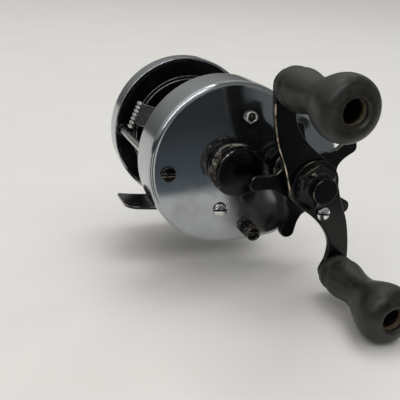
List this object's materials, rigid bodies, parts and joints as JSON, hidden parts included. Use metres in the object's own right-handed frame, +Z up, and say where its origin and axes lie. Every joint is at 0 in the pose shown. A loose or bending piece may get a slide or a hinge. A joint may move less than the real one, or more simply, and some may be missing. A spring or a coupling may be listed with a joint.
{
  "type": "baitcasting reel",
  "caption": "Round baitcasting fishing reel: polished side covers on a pillared frame, open spool, thumb bar, star drag, curved crank with rubber knobs, level wind and reel foot.",
  "frame": {"origin": "centre of the underside of the foot", "axes": "+X along the spool axis to the handle side, +Y forward (line exit), +Z up away from the rod"},
  "size_m": [0.1149, 0.0728, 0.0835],
  "materials": {
    "polished_cover": "polished, worn",
    "chrome": "bright plating",
    "steel": "satin",
    "brass": "cut",
    "black_metal": "glossy black, worn edges",
    "black_frame": "satin black",
    "black_nylon": "moulded",
    "dark_steel": "aged dark steel",
    "rubber": "matte, weathered",
    "drag_fibre": "woven fibre"
  },
  "bodies": {
    "frame": {"left_cover": "polished_cover", "right_cover": "polished_cover", "left_frame_plate": "black_frame", "right_frame_plate": "black_frame", "pillar_rear": "steel", "pillar_top_front": "steel", "pillar_lower_rear": "steel", "pillar_lower_front": "steel", "foot": "black_metal", "foot_rivet_rear": "steel", "foot_rivet_front": "steel", "left_cover_screw_1": "chrome", "left_cover_screw_2": "chrome", "cover_screw_rear": "dark_steel", "cover_screw_lower": "chrome", "takedown_thumbscrew": "dark_steel", "cover_eyelet": "chrome", "left_bearing": "steel", "right_bearing": "steel", "bearing_housing": "black_metal", "cover_bushing": "black_metal", "yoke_post_upper": "steel", "yoke_post_lower": "steel", "yoke_spring_upper": "steel", "yoke_spring_lower": "steel", "dog_post": "steel", "worm_tube": "chrome", "guide_rod": "steel"},
    "handle": {"drive_shaft": "steel", "main_gear": "brass", "wind_drive_gear": "brass", "ratchet_wheel": "steel", "drag_washer_inner": "drag_fibre", "drag_washer_metal": "steel", "drag_washer_outer": "drag_fibre", "drag_pressure_plate": "steel", "spring_washer": "steel", "star_spacer": "black_metal", "handle_spacer": "black_metal", "handle_arm": "black_metal", "nut_flange": "black_metal", "handle_nut": "black_metal", "retainer_screw": "chrome", "knob_post_upper": "steel", "knob_post_lower": "steel"},
    "star": {"star_drag": "black_metal"},
    "upper_knob": {"knob_upper": "rubber"},
    "lower_knob": {"knob_lower": "rubber"},
    "spool": {"spool": "black_metal", "spool_shaft": "steel", "clutch_pin": "steel"},
    "yoke": {"clutch_yoke": "steel"},
    "pinion": {"pinion": "brass"},
    "thumb_bar": {"thumb_bar": "steel"},
    "dog": {"anti_reverse_dog": "steel"},
    "worm": {"worm_shaft": "steel", "worm_gear": "black_nylon"},
    "line_guide": {"line_guide": "chrome", "pawl": "brass"},
    "tension_knob": {"tension_knob": "black_metal"}
  },
  "joints": [
    {"name": "handle_turn", "type": "hinge", "parent": "frame", "child": "handle", "pos_m": [0, 0.0206, 0.02374], "axis": [-1, 0, 0], "continuous": true},
    {"name": "spool_spin", "type": "hinge", "parent": "frame", "child": "spool", "pos_m": [0, 0, 0.0245], "axis": [1, 0, 0], "continuous": true},
    {"name": "worm_spin", "type": "hinge", "parent": "frame", "child": "worm", "pos_m": [0, 0.02107, 0.01013], "axis": [1, 0, 0], "continuous": true},
    {"name": "thumb_bar_press", "type": "hinge", "parent": "frame", "child": "thumb_bar", "pos_m": [0, 0, 0.0245], "axis": [1, 0, 0], "range_deg": [0, 6.5]},
    {"name": "yoke_lift", "type": "slide", "parent": "frame", "child": "yoke", "axis": [1, 0, 0], "range_m": [0, 0.00161], "deforming": ["yoke_spring_upper", "yoke_spring_lower"]},
    {"name": "pinion_spin", "type": "hinge", "parent": "yoke", "child": "pinion", "pos_m": [0, 0, 0.0245], "axis": [1, 0, 0], "continuous": true},
    {"name": "dog_drop", "type": "hinge", "parent": "frame", "child": "dog", "pos_m": [0, 0.0116, 0.0125], "axis": [-1, 0, 0], "range_deg": [0, 8]},
    {"name": "guide_slide", "type": "slide", "parent": "frame", "child": "line_guide", "axis": [1, 0, 0], "range_m": [-0.0095, 0.0095]},
    {"name": "star_turn", "type": "hinge", "parent": "handle", "child": "star", "pos_m": [0, 0.0206, 0.02374], "axis": [1, 0, 0], "range_deg": [-270, 270]},
    {"name": "upper_knob_spin", "type": "hinge", "parent": "handle", "child": "upper_knob", "pos_m": [0, 0.00826, 0.05606], "axis": [1, 0, 0], "continuous": true},
    {"name": "lower_knob_spin", "type": "hinge", "parent": "handle", "child": "lower_knob", "pos_m": [0, 0.03294, -0.00858], "axis": [1, 0, 0], "continuous": true},
    {"name": "tension_turn", "type": "hinge", "parent": "frame", "child": "tension_knob", "pos_m": [0, 0, 0.0245], "axis": [1, 0, 0], "range_deg": [-360, 360]}
  ],
  "couplings": [
    {"joint": "spool_spin", "follows": "handle_turn", "ratio": 4.5455},
    {"joint": "pinion_spin", "follows": "handle_turn", "ratio": 4.5455},
    {"joint": "worm_spin", "follows": "handle_turn", "ratio": 1.5},
    {"joint": "yoke_lift", "follows": "thumb_bar_press", "m_per_rad": 0.014104}
  ]
}
